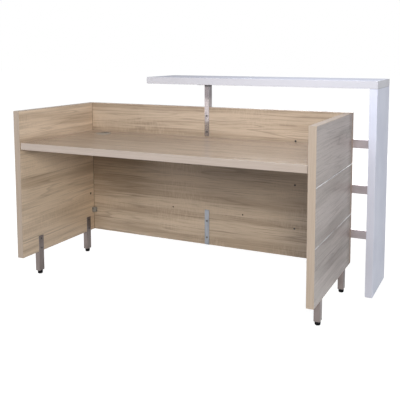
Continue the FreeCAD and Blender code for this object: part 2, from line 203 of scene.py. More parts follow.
class Effects:
    """Shader groups that several finishes share, each made once."""

    def __init__(self) -> None:
        """Starts with no group made."""
        self.made: dict[Effect, NodeTree] = {}

    def group(self, effect: Effect) -> NodeTree:
        """The group of an effect, made at its first use."""
        if effect not in self.made:
            self.made[effect] = getattr(self, effect.value)()
        return self.made[effect]

    @staticmethod
    def start(effect: Effect, *numbers: str) -> tuple[Tree, Sockets]:
        """Begins a group that takes a point, named Vector.

        Args:
            effect: the effect that it is for.
            numbers: names of the numbers that it takes too.

        Returns:
            The tree to fill and the sockets of what it takes.
        """
        group = bpy.data.node_groups.new(effect.value, "ShaderNodeTree")
        group.interface.new_socket("Vector", in_out="INPUT", socket_type="NodeSocketVector")
        for name in numbers:
            group.interface.new_socket(name, in_out="INPUT", socket_type="NodeSocketFloat")
        return Tree(group), group.nodes.new("NodeGroupInput").outputs

    @staticmethod
    def end(tree: Tree, **outputs: Socket) -> NodeTree:
        """Ends a group with the numbers that it puts out; returns the group."""
        for name in outputs:
            tree.tree.interface.new_socket(name, in_out="OUTPUT", socket_type="NodeSocketFloat")
        leave = tree.tree.nodes.new("NodeGroupOutput")
        for name, socket in outputs.items():
            tree.give(leave.inputs[name], socket)
        return tree.tree

    def oak_figure(self) -> NodeTree:
        """Oak figure from a point whose X runs along the grain and Y across it.

        Veins are contour lines of a smooth noise drawn out along the grain, so they run as long arches,
        and they fade out between patches. Streaks, fibres and pores are ever finer noises, and saw marks
        are short cross lines in patches of their own.

        Returns:
            The group, with Vein, Tone, Streak, Fibre, Pore and Saw outputs from 0 to 1.
        """
        tree, given = self.start(Effect.OAK_FIGURE)
        where = given["Vector"]
        sway = tree.math("SUBTRACT", tree.noise(where, (1.4, 3.0, 1.4)), 0.5)
        parts = tree.add("SeparateXYZ", {0: where}).outputs
        across = tree.math("ADD", parts[1], tree.math("MULTIPLY", sway, 0.018))
        bent = tree.add("CombineXYZ", {0: parts[0], 1: across, 2: parts[2]}).outputs[0]
        field = tree.noise(bent, (0.7, 13.0, 0.7), detail=1.8)
        turn = tree.math("FRACT", tree.math("MULTIPLY", field, 10.0))
        ring = tree.math("MULTIPLY", tree.ramp(turn, 0.66, 0.93), tree.ramp(turn, 1.0, 0.95))
        kept = tree.ramp(tree.noise(where, (2.2, 9.0, 2.2)), 0.42, 0.60)
        patch = tree.ramp(tree.noise(where, (2.4, 6.5, 2.4)), 0.47, 0.62)
        lines = tree.ramp(tree.noise(where, (150.0, 24.0, 9.0)), 0.46, 0.60)
        return self.end(
            tree,
            Vein=tree.math("MULTIPLY", ring, kept),
            Tone=tree.noise(bent, (0.9, 15.0, 0.9)),
            Streak=tree.noise(bent, (1.2, 110.0, 1.2), detail=3.0, rough=0.52),
            Fibre=tree.noise(bent, (6.0, 300.0, 6.0), detail=3.0),
            Pore=tree.ramp(tree.noise(bent, (24.0, 850.0, 24.0)), 0.58, 0.72),
            Saw=tree.math("MULTIPLY", patch, lines),
        )

    def brushing(self) -> NodeTree:
        """Brushed lines along the point's X, and a slow cloudiness.

        Returns:
            The group, with Lines and Cloud outputs from 0 to 1.
        """
        tree, given = self.start(Effect.BRUSHING)
        lines = tree.noise(given["Vector"], (14.0, 2600.0, 2600.0), detail=3.0, rough=0.6)
        cloud = tree.noise(given["Vector"], (9.0, 22.0, 22.0), detail=3.0)
        return self.end(tree, Lines=lines, Cloud=cloud)

    def moulding(self) -> NodeTree:
        """Spark-eroded mould texture, with Grain cells in a metre.

        Returns:
            The group, with Pits and Shade outputs from 0 to 1.
        """
        tree, given = self.start(Effect.MOULDING, "Grain")
        pits = tree.noise(given["Vector"], given["Grain"], rough=0.65)
        shade = tree.noise(given["Vector"], 35.0, detail=3.0)
        return self.end(tree, Pits=pits, Shade=shade)

    def handling(self) -> NodeTree:
        """Faint rubbing left by hands and cloths, broad smears and thin scuffs.

        Returns:
            The group, with Smear and Scuff outputs from 0 to 1.
        """
        tree, given = self.start(Effect.HANDLING)
        smear = tree.noise(given["Vector"], (4.0, 6.0, 5.0), detail=4.0, rough=0.6)
        fine = tree.noise(given["Vector"], (60.0, 190.0, 75.0), detail=4.0, rough=0.7)
        return self.end(tree, Smear=smear, Scuff=tree.ramp(fine, 0.6, 0.78))


EFFECTS = Effects()


class Surface:
    """A material being made: its tree, its shader and the readings that its patterns take."""

    def __init__(self, name: str, roughness: float, metallic: float = 0.0, gloss: float = 0.5) -> None:
        """Starts a material.

        Args:
            name: the material's name.
            roughness: the shader's roughness where nothing changes it.
            metallic: 1 for bare metal.
            gloss: how much of the light a face that isn't metal mirrors.
        """
        self.material = bpy.data.materials.new(name)
        self.material.use_nodes = True
        self.tree = Tree(self.material.node_tree)
        self.shader = next(n for n in self.tree.tree.nodes if n.type == "BSDF_PRINCIPLED")
        plain = {"Roughness": roughness, "Metallic": metallic, "Specular IOR Level": gloss}
        for socket, value in plain.items():
            self.shader.inputs[socket].default_value = value

    def read(self, reading: Reading) -> Socket:
        """A reading of the spot being coloured; returns its socket."""
        return self.tree.add("TexCoord").outputs[reading.value]

    def part(self, reading: Reading, axis: Axis) -> Socket:
        """A reading's coordinate in one direction; returns its socket."""
        return self.tree.add("SeparateXYZ", {0: self.read(reading)}).outputs[axis.value]

    def where(self, along: Axis, across: Axis, shift: Point = (0.0, 0.0, 0.0)) -> Socket:
        """A point of the piece, re-ordered for a pattern.

        Args:
            along: the direction that becomes the pattern's X.
            across: the direction that becomes its Y.
            shift: moves the pattern, so that like boards differ.

        Returns:
            The point's socket.
        """
        place = {"Vector": self.read(Reading.PLACE), "Location": shift}
        parts = self.tree.add("SeparateXYZ", {0: self.tree.add("Mapping", place).outputs[0]}).outputs
        third = next(a for a in Axis if a not in (along, across))
        order = {0: parts[along.value], 1: parts[across.value], 2: parts[third.value]}
        return self.tree.add("CombineXYZ", order).outputs[0]

    def effect(self, effect: Effect, where: Socket, **values: float) -> Sockets:
        """Places a shared effect at a point; returns its outputs."""
        sockets = {"Vector": where, **values}
        return self.tree.add("Group", sockets, node_tree=EFFECTS.group(effect)).outputs

    def joint(self, line: Joint, half: float) -> Socket:
        """A thin line where two boards meet.

        Args:
            line: where it runs.
            half: half of its width.

        Returns:
            The socket of a mask that is 1 in the line's middle and 0 beyond its width.
        """
        tree = self.tree
        off = tree.math("SUBTRACT", self.part(Reading.PLACE, line.across), line.level)
        # The line is partly the seam and partly painted shade where the boards meet.
        mask = tree.ramp(tree.math("ABSOLUTE", off), half, 0.3 * half)
        if line.facing:
            toward = tree.vector("DOT_PRODUCT", self.read(Reading.FACING), line.facing)["Value"]
            mask = tree.math("MULTIPLY", mask, tree.ramp(toward, 0.5, 0.8))
        return mask

    def bore(self, bore: Bore) -> Socket:
        """The inside of an upright bore; returns the socket of a mask that is 1 there."""
        tree = self.tree
        off = tree.vector("SUBTRACT", self.read(Reading.PLACE), (*bore.axis, 0.0))[0]
        away = tree.vector("LENGTH", tree.vector("MULTIPLY", off, (1.0, 1.0, 0.0))[0])["Value"]
        return tree.ramp(away, bore.radius + bore.blur, bore.radius)

    def feed(self, socket: str, value: Socket) -> None:
        """Joins a value to one of the shader's sockets."""
        self.tree.give(self.shader.inputs[socket], value)

    def paint(self, base: Triple, *layers: tuple) -> None:
        """Lays colours over a base one by one, each given as its share, the colour and how they mix."""
        for share, *over in layers:
            base = self.tree.blend(share, base, *over)
        self.feed("Base Color", base)

    def relief(self, height: Socket, depth: float, strength: float = 0.5) -> None:
        """Gives the surface a bump of a depth."""
        bump = self.tree.add("Bump", {"Height": height, "Distance": depth, "Strength": strength})
        self.feed("Normal", bump.outputs["Normal"])


def shaded(colour: Colour, shade: float) -> Colour:
    """A colour made lighter or darker, and never beyond white."""
    return tuple(min(shade * part, 1.0) for part in colour)


class Finish:
    """The look of a board, a length of metal, a moulding or a dowel."""

    def material(self, name: str) -> Material:
        """Makes the finish; returns its material."""
        raise NotImplementedError

    def put_on(self, name: str, *nodes: str) -> Material:
        """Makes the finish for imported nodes.

        Args:
            name: the material's name.
            nodes: the nodes that get it, in each of their slots.

        Returns:
            The material.
        """
        material = self.material(name)
        for node in nodes:
            for slot in bpy.data.objects[node].material_slots:
                slot.material = material
        return material


@dataclass(frozen=True)
class OakBoard(Finish):
    """Board faced with an oak print: light sapwood, tan heartwood, dark streaks and saw marks."""

    along: Axis
    across: Axis
    shift: Point
    light: Colour = (0.690, 0.541, 0.408)
    tan: Colour = (0.500, 0.376, 0.271)
    dark: Colour = (0.215, 0.154, 0.109)
    shade: float = 1.0
    figure: float = 1.0
    roughness: float = 0.40
    gloss: float = 0.4
    joints: tuple[Joint, ...] = ()
    joint_half: float = 0.0024
    joint_share: float = 0.7
    seam_and_shade_colour: Colour = (0.060, 0.045, 0.032)

    def material(self, name: str) -> Material:
        """Makes the finish; returns its material."""
        surface = Surface(name, self.roughness, gloss=self.gloss)
        tree, bold = surface.tree, self.figure
        figure = surface.effect(Effect.OAK_FIGURE, surface.where(self.along, self.across, self.shift))
        light, tan, dark = (shaded(colour, self.shade) for colour in (self.light, self.tan, self.dark))
        lines = [surface.joint(line, self.joint_half) for line in self.joints]
        surface.paint(
            light,
            (tree.ramp(figure["Tone"], 0.41, 0.63), tan),
            (tree.ramp(figure["Streak"], 0.54, 0.76, 0.0, 0.55 * bold), dark),
            (tree.ramp(figure["Streak"], 0.44, 0.28, 0.0, 0.4 * bold), light),
            (tree.math("MULTIPLY", figure["Vein"], 0.30 * bold), dark),
            (tree.ramp(figure["Fibre"], 0.50, 0.74, 0.0, 0.40 * bold), dark),
            (tree.math("MULTIPLY", figure["Pore"], 0.28), dark),
            (tree.math("MULTIPLY", figure["Saw"], 0.22), shaded(light, 1.15)),
            *((tree.math("MULTIPLY", line, self.joint_share), self.seam_and_shade_colour) for line in lines),
        )
        surface.feed("Roughness", tree.math("MULTIPLY_ADD", figure["Fibre"], 0.12, self.roughness - 0.06))
        cuts = tree.math("MULTIPLY_ADD", figure["Saw"], -0.4, tree.math("MULTIPLY", figure["Pore"], -0.6))
        surface.relief(cuts, 0.0004)
        return surface.material


@dataclass(frozen=True)
class OakBand(Finish):
    """Edge band of paler oak print, with straight quiet grain."""

    across: Axis
    shift: Point
    light: Colour = (0.575, 0.467, 0.385)
    tan: Colour = (0.480, 0.379, 0.298)
    shade: float = 1.0
    roughness: float = 0.48
    gloss: float = 0.12

    def material(self, name: str) -> Material:
        """Makes the finish; returns its material."""
        surface = Surface(name, self.roughness, gloss=self.gloss)
        tree = surface.tree
        along = Axis.Y if self.across is not Axis.Y else Axis.X
        figure = surface.effect(Effect.OAK_FIGURE, surface.where(along, self.across, self.shift))
        light, tan = shaded(self.light, self.shade), shaded(self.tan, self.shade)
        surface.paint(
            light,
            (tree.ramp(figure["Streak"], 0.40, 0.75, 0.0, 0.4), tan),
            (tree.ramp(figure["Fibre"], 0.45, 0.70, 0.0, 0.5), tan),
        )
        surface.relief(figure["Fibre"], 0.0002)
        return surface.material


@dataclass(frozen=True)
class WhiteBoard(Finish):
    """Smooth white melamine with a faint orange peel and rubbed patches."""

    colour: Colour
    rubbed: Colour
    shade: float
    roughness: float = 0.46
    gloss: float = 0.35
    joints: tuple[Joint, ...] = ()
    joint_half: float = 0.0030
    seam_and_shade_colour: Colour = (0.360, 0.360, 0.400)
    peel: float = 420.0

    def material(self, name: str) -> Material:
        """Makes the finish; returns its material."""
        surface = Surface(name, self.roughness, gloss=self.gloss)
        tree = surface.tree
        where = surface.where(Axis.X, Axis.Y)
        smear = surface.effect(Effect.HANDLING, where)["Smear"]
        clean, rubbed = shaded(self.colour, self.shade), shaded(self.rubbed, self.shade)
        lines = [(surface.joint(line, self.joint_half), self.seam_and_shade_colour) for line in self.joints]
        surface.paint(clean, (tree.ramp(smear, 0.4, 0.7), rubbed), *lines)
        surface.feed("Roughness", tree.ramp(smear, 0.3, 0.7, self.roughness - 0.05, self.roughness + 0.06))
        surface.relief(surface.effect(Effect.MOULDING, where, Grain=self.peel)["Pits"], 0.0001, 0.25)
        return surface.material


@dataclass(frozen=True)
class BrushedMetal(Finish):
    """Bare or plated metal with lines along its length and a slow cloudiness.

    Each fade turns it to another colour from one height to the next, as painted reflection or painted shade
    along the height. Faces that look along X take the flank's shade, a painted shade of the sides.
    """

    along: Axis
    colour: Colour
    dull: Colour
    roughness: float
    metallic: float = 1.0
    painted_light_bands: tuple[tuple[float, float, Colour], ...] = ()
    flank: float = 1.0

    def material(self, name: str) -> Material:
        """Makes the finish; returns its material."""
        surface = Surface(name, self.roughness, self.metallic)
        tree = surface.tree
        across = Axis.Y if self.along is not Axis.Y else Axis.Z
        where = surface.where(self.along, across)
        brushed = surface.effect(Effect.BRUSHING, where)
        height = surface.part(Reading.PLACE, Axis.Z)
        painted_side_shade = tree.math("ABSOLUTE", surface.part(Reading.FACING, Axis.X))
        surface.paint(
            self.colour,
            (tree.ramp(brushed["Cloud"], 0.35, 0.7), self.dull),
            (tree.ramp(brushed["Lines"], 0.4, 0.8, 0.0, 0.35), self.dull),
            # Painted reflection and painted shade, by height.
            *((tree.ramp(height, start, end), painted_colour) for start, end, painted_colour in self.painted_light_bands),
            # Painted shade on the faces that look along X.
            (tree.ramp(painted_side_shade, 0.5, 0.9), (self.flank,) * 3, "MULTIPLY"),
        )
        lined = tree.ramp(brushed["Lines"], 0.2, 0.8, self.roughness - 0.08, self.roughness + 0.1)
        scuff = tree.math("MULTIPLY", surface.effect(Effect.HANDLING, where)["Scuff"], 0.08)
        surface.feed("Roughness", tree.math("ADD", lined, scuff))
        surface.relief(brushed["Lines"], 0.0001, 0.3)
        return surface.material


@dataclass(frozen=True)
class Moulded(Finish):
    """Moulded plastic with an eroded texture and slightly uneven shade, painted black within its bore as
    painted shade.
    """

    colour: Colour
    pale: Colour
    roughness: float
    gloss: float = 0.5
    grain: float = 2400.0
    bore: Bore | None = None
    painted_bore_shade: Colour = (0.005, 0.005, 0.005)

    def material(self, name: str) -> Material:
        """Makes the finish; returns its material."""
        surface = Surface(name, self.roughness, gloss=self.gloss)
        tree = surface.tree
        where = surface.where(Axis.X, Axis.Y)
        mould = surface.effect(Effect.MOULDING, where, Grain=self.grain)
        scuff = surface.effect(Effect.HANDLING, where)["Scuff"]
        # Painted shade: black inside the bore, where the recess under the cap lies in shade.
        painted_shade_in_bore = [(surface.bore(self.bore), self.painted_bore_shade)] if self.bore else []
        surface.paint(
            self.colour,
            (tree.ramp(mould["Shade"], 0.35, 0.7, 0.0, 0.6), self.pale),
            (tree.math("MULTIPLY", scuff, 0.4), self.pale),
            *painted_shade_in_bore,
        )
        rough = tree.ramp(mould["Pits"], 0.2, 0.8, self.roughness - 0.06, self.roughness + 0.1)
        surface.feed("Roughness", rough)
        surface.relief(mould["Pits"], 0.0002, 0.4)
        return surface.material


@dataclass(frozen=True)
class TurnedWood(Finish):
    """Plain beech with short flecks, for dowels."""

    along: Axis
    colour: Colour = (0.600, 0.420, 0.260)
    fleck: Colour = (0.430, 0.280, 0.160)
    roughness: float = 0.6

    def material(self, name: str) -> Material:
        """Makes the finish; returns its material."""
        surface = Surface(name, self.roughness)
        tree = surface.tree
        across = Axis.X if self.along is not Axis.X else Axis.Y
        figure = surface.effect(Effect.OAK_FIGURE, surface.where(self.along, across))
        fibre, pore = tree.ramp(figure["Fibre"], 0.4, 0.7), tree.math("MULTIPLY", figure["Pore"], 0.5)
        surface.paint(self.colour, (fibre, self.fleck), (pore, self.fleck))
        surface.relief(figure["Pore"], 0.0002)
        return surface.material


# The boards are one oak print and one white melamine. These palettes and each board's shade were set so that
# each face matches how bright it looks where it stands: partly the print's own variation and partly painted
# light. The right panel's palette is painted greyer and darker for the shade and glare on its outer face;
# the whites and the worktop band are tinted warm or cool for the light on each face.
GREY_AND_SHADED_OAK = ((0.510, 0.437, 0.405), (0.367, 0.309, 0.279), (0.143, 0.112, 0.097))
DUSKY_OAK = ((0.545, 0.413, 0.304), (0.482, 0.363, 0.264), (0.200, 0.143, 0.099))
COOL_BAND = ((0.575, 0.480, 0.424), (0.480, 0.390, 0.329))
WARM_WHITE = ((0.785, 0.761, 0.812), (0.755, 0.732, 0.784))
COOL_WHITE = ((0.785, 0.790, 0.915), (0.755, 0.760, 0.884))
# These are one satin steel. Their colours were set so that each part matches how bright it looks where it
# stands, so they are partly painted light: the bars are painted paler and the back strip cooler than the
# legs and plates.
STEEL = BrushedMetal(Axis.Y, (0.243, 0.202, 0.193), (0.173, 0.141, 0.134), 0.38, metallic=0.5)
# The legs' faces that look along X are made darker by the flank: painted shade.
UPRIGHT_STEEL = replace(STEEL, along=Axis.Z, flank=0.78)
BRIGHT_STEEL = BrushedMetal(Axis.Z, (0.285, 0.294, 0.318), (0.162, 0.168, 0.183), 0.36, metallic=0.85)
PALE_STEEL = BrushedMetal(Axis.X, (0.610, 0.552, 0.580), (0.494, 0.442, 0.465), 0.38, metallic=0.85)
# The post's bands are painted light: a painted reflection of a lamp in its bright middle, painted shade
# towards the top under the counter, a near-black painted shadow under the head plate and a painted brown
# reflection of the worktop low down. Its faces that look along X take painted shade.
POLISHED_STEEL = BrushedMetal(
    Axis.Z, (0.525, 0.470, 0.467), (0.230, 0.198, 0.202), 0.16, flank=0.72,
    painted_light_bands=(
        (0.955, 1.000, (0.245, 0.218, 0.225)),
        (1.042, 1.054, (0.040, 0.036, 0.038)),
        (0.856, 0.838, (0.330, 0.280, 0.258)),
    ),
)
# Partly the dark zinc plate's own colour and partly painted shade, made darker so the screw heads read dark.
ZINC = BrushedMetal(Axis.Z, (0.120, 0.112, 0.104), (0.070, 0.066, 0.061), 0.40)
CAST_ZINC = BrushedMetal(Axis.X, (0.165, 0.142, 0.122), (0.105, 0.090, 0.078), 0.5)
ALUMINIUM = BrushedMetal(Axis.Y, (0.860, 0.865, 0.875), (0.400, 0.390, 0.390), 0.26)
BLACK = Moulded((0.004, 0.004, 0.005), (0.010, 0.010, 0.011), 0.58, gloss=0.10)
GREY = Moulded((0.180, 0.160, 0.136), (0.230, 0.208, 0.180), 0.5)
SILVER = Moulded((0.320, 0.278, 0.230), (0.390, 0.344, 0.292), 0.24, gloss=0.35)
DARK_SILVER = replace(SILVER, colour=(0.190, 0.162, 0.132), pale=(0.240, 0.208, 0.172))


def corners_of(node: str) -> tuple[Array, Array]:
    """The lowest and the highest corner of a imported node's box."""
    low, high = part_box(node)
    return np.array(low), np.array(high)


def solids_of(node: str) -> list[Array]:
    """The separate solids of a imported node.

    Corners at one place become one corner. Each takes the lowest label among the corners of its faces,
    and that is repeated until no label changes, so corners with one label belong to one solid.

    Args:
        node: the node's name.

    Returns:
        An array of points for each solid.
    """
    mesh = bpy.data.objects[node].data
    points = np.empty(len(mesh.vertices) * 3, np.float32)
    mesh.vertices.foreach_get("co", points)
    points = points.reshape(-1, 3)
    mesh.calc_loop_triangles()
    corners = np.empty(len(mesh.loop_triangles) * 3, np.int32)
    mesh.loop_triangles.foreach_get("vertices", corners)
    cells = np.round(points * PLACES_PER_METRE).astype(np.int64)
    place = np.unique(cells, axis=0, return_inverse=True)[1].reshape(-1)
    faces = place[corners].reshape(-1, 3)
    label, before = np.arange(place.max() + 1), None
    while before is None or (label != before).any():
        before = label.copy()
        np.minimum.at(label, faces.ravel(), np.repeat(before[faces].min(axis=1), 3))
        label = label[label]
    return [points[label[place] == k] for k in np.unique(label)]


def full_turn(segments: int) -> Array:
    """Even angles round a full turn."""
    return np.linspace(0, 2 * np.pi, segments, endpoint=False)


def turned(radius: Array, height: Array, turn: Array) -> Array:
    """A grid of points round the upright axis, from grids of radius and height at the angles of a turn."""
    return np.stack([radius * np.cos(turn), radius * np.sin(turn), height], axis=2)


def thread_wave(height: Array, turn: Array, pitch: float) -> Array:
    """A triangle wave from 0 to 1 of the height plus one pitch a turn, a row for each height."""
    phase = (height[:, None] / pitch + turn / (2 * np.pi)) % 1
    return np.abs(2 * phase - 1)


def grid_faces(rows: int, columns: int) -> Array:
    """The quads of a grid whose columns close into a ring; returns an array of four corners a face."""
    row, column = np.meshgrid(np.arange(rows - 1), np.arange(columns), indexing="ij")
    here, above = row * columns, (row + 1) * columns
    beside = (column + 1) % columns
    corners = (here + column, here + beside, above + beside, above + column)
    return np.stack([c.ravel() for c in corners], axis=1)


def linked(name: str, data: ID) -> Object:
    """A new object of some data, linked to the scene."""
    made = bpy.data.objects.new(name, data)
    bpy.context.scene.collection.objects.link(made)
    return made


def grid_piece(name: str, grids: list[Array], joined: bool = False) -> Object:
    """Makes one piece from grids whose rows run round an axis or a path.

    Args:
        name: the piece's name.
        grids: arrays of rows, columns and three coordinates.
        joined: whether a grid's last row meets its first. If not, a many-sided face closes each of the
            two, and edges beyond the smooth angle are sharp.

    Returns:
        The piece, linked to the scene.
    """
    points, faces, start = [], [], 0
    for grid in grids:
        rows, columns = grid.shape[:2]
        count = rows * columns
        points.append(grid.reshape(-1, 3))
        if joined:
            faces += (grid_faces(rows + 1, columns) % count + start).tolist()
        else:
            faces += (grid_faces(rows, columns) + start).tolist()
            faces.append(list(range(start + columns - 1, start - 1, -1)))
            faces.append(list(range(start + count - columns, start + count)))
        start += count
    mesh = bpy.data.meshes.new(name)
    mesh.from_pydata(np.concatenate(points).tolist(), [], faces)
    mesh.update()
    mesh.shade_smooth()
    if not joined:
        mesh.set_sharp_from_angle(angle=SMOOTH_ANGLE)
    return linked(name, mesh)


def finish_piece(piece: Object, body: str, slot: str, material: Material, *nodes: str) -> None:
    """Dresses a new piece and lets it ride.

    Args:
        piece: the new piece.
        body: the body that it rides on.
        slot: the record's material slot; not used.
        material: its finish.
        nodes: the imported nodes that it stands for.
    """
    piece.data.materials.append(material)
    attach(piece, body)
    if nodes:
        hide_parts(*nodes)
    LOG.info("%s: %d faces", piece.name, len(piece.data.polygons))


@dataclass
class Boards:
    """The oak and white boards, their edge bands and their inlay lines."""

    inward: Point = (0.0, -1.0, 0.0)

    def dress(self) -> None:
        """Gives every board its grain direction and its own stretch of the print."""
        # Dark lines where boards meet: partly seams and partly painted shade in the corners and under the
        # counter top.
        back = (Joint(Axis.Y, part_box("back_panel")[0][1]),)
        levels = (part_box("left_side_panel")[1][0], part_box("right_side_panel")[0][0])
        sides = tuple(Joint(Axis.X, level, self.inward) for level in levels)
        under_top = (Joint(Axis.Z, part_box("counter_end_panel")[1][2]),)
        # Each shade is partly the board's own tone and partly painted light, lighter or darker for how light
        # falls on that board.
        finishes = {
            "left_side_panel": OakBoard(Axis.Y, Axis.Z, (1.99, 0.99, 0.05), shade=1.065, joints=back),
            "right_side_panel": OakBoard(
                Axis.Y, Axis.Z, (0.14, 2.06, 1.86), *GREY_AND_SHADED_OAK, shade=0.87, joints=back
            ),
            "back_panel": OakBoard(
                Axis.X, Axis.Z, (1.29, 0.60, 3.27), shade=0.825, figure=1.35, joints=sides
            ),
            "worktop": OakBoard(
                Axis.X, Axis.Y, (3.10, 0.42, 0.66), *DUSKY_OAK, shade=0.908, figure=1.4,
                roughness=0.14, gloss=0.20,
            ),
            "left_side_edging": OakBand(Axis.X, (0.4, 0.0, 0.0), shade=0.865),
            "right_side_edging": OakBand(Axis.X, (1.1, 0.0, 0.0), shade=0.965, gloss=0.0),
            "back_edging": OakBand(Axis.Y, (0.0, 0.7, 0.0)),
            "worktop_edging": OakBand(Axis.Z, (0.0, 0.0, 0.3), *COOL_BAND, shade=0.959),
            "counter_top": WhiteBoard(*WARM_WHITE, shade=0.92, gloss=0.0),
            "counter_top_edging": WhiteBoard(*WARM_WHITE, shade=0.745, roughness=0.42),
            "counter_end_panel": WhiteBoard(*COOL_WHITE, shade=0.855, joints=under_top),
            "end_panel_edging": WhiteBoard(*COOL_WHITE, shade=0.87, roughness=0.42, joints=under_top),
            "left_inlay_lines": ALUMINIUM,
            "right_inlay_lines": ALUMINIUM,
            "back_inlay_lines": replace(ALUMINIUM, along=Axis.X),
        }
        for node, finish in finishes.items():
            finish.put_on(f"{node}_finish", node)
        LOG.info("boards dressed: %d nodes", len(finishes))


@dataclass
class SteelWork:
    """Legs, post, bars, plates and brackets of satin steel, with the welds between them."""

    bead: float = 0.0022
    segments: int = 12
    side_steps: int = 24
    ripple_depth: float = 0.1
    ripple_rate: float = 2.1

    def dress(self) -> None:
        """Gives each length of steel lines along its run."""
        UPRIGHT_STEEL.put_on("satin_steel_upright", *(f"{corner}_leg" for corner in CORNERS))
        POLISHED_STEEL.put_on("satin_steel_post", "counter_post")
        PALE_STEEL.put_on("satin_steel_level", *BARS)
        BRIGHT_STEEL.put_on("satin_steel_strip", "back_strip")
        plates = ("post_head_plate", "bar_end_plates", "worktop_brackets")
        self.weld(STEEL.put_on("satin_steel_deep", *plates))

    def seam(self, low: Array, high: Array, normal: Axis, level: float) -> Array:
        """A weld bead round a rectangular tube where it meets a plate above or beyond it.

        The path is the tube's outline, a rectangle walked at an even pace. The profile is a circle carried
        along it, whose radius rises and falls with each ripple of the weld.

        Args:
            low: the tube's lowest corner.
            high: its highest corner.
            normal: the direction along the tube.
            level: where the plate's face is along that direction.

        Returns:
            A grid of points, a row for each angle of the circle and a column for each step of the path.
        """
        plane = [a.value for a in Axis if a is not normal]
        (left, near), (right, far) = low[plane], high[plane]
        corners = np.array([[left, near], [right, near], [right, far], [left, far]])
        share = np.linspace(0, 1, self.side_steps, endpoint=False)[:, None]
        path = np.concatenate([a + (b - a) * share for a, b in zip(corners, np.roll(corners, -1, axis=0))])
        outward = path - corners.mean(axis=0)
        edge = np.abs(outward) / np.abs(outward).max(axis=0)
        side = np.where(edge >= edge.max(axis=1, keepdims=True) - TOLERANCE, np.sign(outward), 0)
        side = side / np.linalg.norm(side, axis=1, keepdims=True)
        turn = full_turn(self.segments)[:, None]
        radius = self.bead * (1 + self.ripple_depth * np.sin(np.arange(len(path)) * self.ripple_rate))
        grid = np.empty((self.segments, len(path), 3))
        grid[..., plane] = path + side * (radius * np.cos(turn))[..., None]
        grid[..., normal.value] = level - radius * np.sin(turn)
        return grid

    def weld(self, material: Material) -> None:
        """Lays the beads under the post's head plate and round the bars at their end plates."""
        rings = [self.seam(*corners_of("counter_post"), Axis.Z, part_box("post_head_plate")[0][2])]
        for bar in BARS:
            low, high = corners_of(bar)
            rings.append(self.seam(low, high, Axis.X, high[0]))
        finish_piece(grid_piece("steel_welds", rings, joined=True), "desk", "satin_steel", material)


@dataclass(frozen=True)
class Screw:
    """A pan-head screw with a cross recess and a coarse thread.

    Head, shank and recess are radii, and rise is the head's height. The taper to the tip and the plain
    neck are in shank radii. The root is a share cut from the crest, seat and eye are shares of the head's
    radius, edge, rim, bow and sink are shares of the rise, and arm is a share of the recess.
    """

    head: float
    rise: float
    shank: float
    recess: float
    pitch: float
    segments: int = 40
    pitch_rows: int = 5
    fewest_rows: int = 12
    taper: float = 2.2
    tip: float = 0.06
    neck: float = 1.5
    root: float = 0.28
    flank: float = 0.7
    seat: float = 0.96
    edge: float = 0.08
    rim: float = 0.34
    bow: float = 0.70
    bow_rows: int = 7
    flat_rows: int = 12
    eye: float = 0.02
    arm: float = 0.28
    sink: float = 0.62
    slope: float = 0.55

    def surface(self, length: float) -> Array:
        """The screw upright at the origin, its head's seat at height 0.

        A profile of radius and height is turned round the axis, first the shank and then the head.

        Args:
            length: from the seat to the tip.

        Returns:
            A grid of points from the tip to the crown.
        """
        turn = full_turn(self.segments)
        parts = zip(self.thread(length, turn), self.cap(turn))
        radius, height = (np.concatenate(pair) for pair in parts)
        return turned(radius, height, turn)

    def thread(self, length: float, turn: Array) -> tuple[Array, Array]:
        """The shank.

        The radius falls from the crest to the root by a power of the thread's triangle wave. It stays at
        the crest along the neck and narrows to the tip.

        Args:
            length: from the seat to the tip.
            turn: the angles round it.

        Returns:
            Its radii and its heights, a row for each step from the tip up.
        """
        rows = max(int(length / self.pitch * self.pitch_rows), self.fewest_rows)
        down = np.linspace(-length, 0, rows)
        taper = np.clip((down + length) / (self.taper * self.shank), self.tip, 1)
        ridge = 1 - self.root * thread_wave(down, turn, self.pitch) ** self.flank
        ridge = np.where(down[:, None] > -self.neck * self.shank, 1.0, ridge)
        return self.shank * taper[:, None] * ridge, np.repeat(down[:, None], self.segments, axis=1)

    def cap(self, turn: Array) -> tuple[Array, Array]:
        """The head.

        The crown is part of an ellipse above a straight rim. Its height drops by the recess's depth, less
        towards the arms' ends, where a point lies within either arm of a cross.

        Args:
            turn: the angles round it.

        Returns:
            Its radii and its heights, a row for each step from the seat to the middle.
        """
        seat = np.array([[self.seat, 0.0], [1.0, self.edge], [1.0, self.rim]]) * (self.head, self.rise)
        bow = np.linspace(self.rim, 1.0, self.bow_rows)[1:]
        ellipse = self.head * np.sqrt(1 - ((bow - self.rim) / self.bow) ** 2)
        crown = np.stack([ellipse, self.rise * bow], axis=1)
        inner = np.linspace(crown[-1, 0], self.eye * self.head, self.flat_rows)[1:]
        flat = np.stack([inner, np.full(len(inner), self.rise)], axis=1)
        profile = np.concatenate([seat, crown, flat])
        radius = np.repeat(profile[:, :1], self.segments, axis=1)
        height = np.repeat(profile[:, 1:], self.segments, axis=1)
        off = np.minimum(np.abs(radius * np.cos(turn)), np.abs(radius * np.sin(turn)))
        cross = (off < self.arm * self.recess) & (radius < self.recess) & (height > 0.5 * self.rise)
        depth = self.sink * self.rise * (1 - self.slope * radius / self.recess)
        return radius, np.where(cross, height - depth, height)


MACHINE_SCREW = Screw(head=0.0055, rise=0.0030, shank=0.0025, recess=0.0032, pitch=0.0022)
WOOD_SCREW = Screw(head=0.0035, rise=0.0018, shank=0.0016, recess=0.0020, pitch=0.0014)


def stood(grid: Array, at: Array, out: Array, spin: float) -> Array:
    """Stands an upright surface at a point, facing a direction, turned by an angle about it."""
    side = np.cross(out, [0.0, 0.0, 1.0] if abs(out[2]) < 0.9 else [0.0, 1.0, 0.0])
    side /= np.linalg.norm(side)
    other = np.cross(out, side)
    first = side * math.cos(spin) + other * math.sin(spin)
    frame = np.stack([first, np.cross(out, first), out])
    return grid @ frame + at


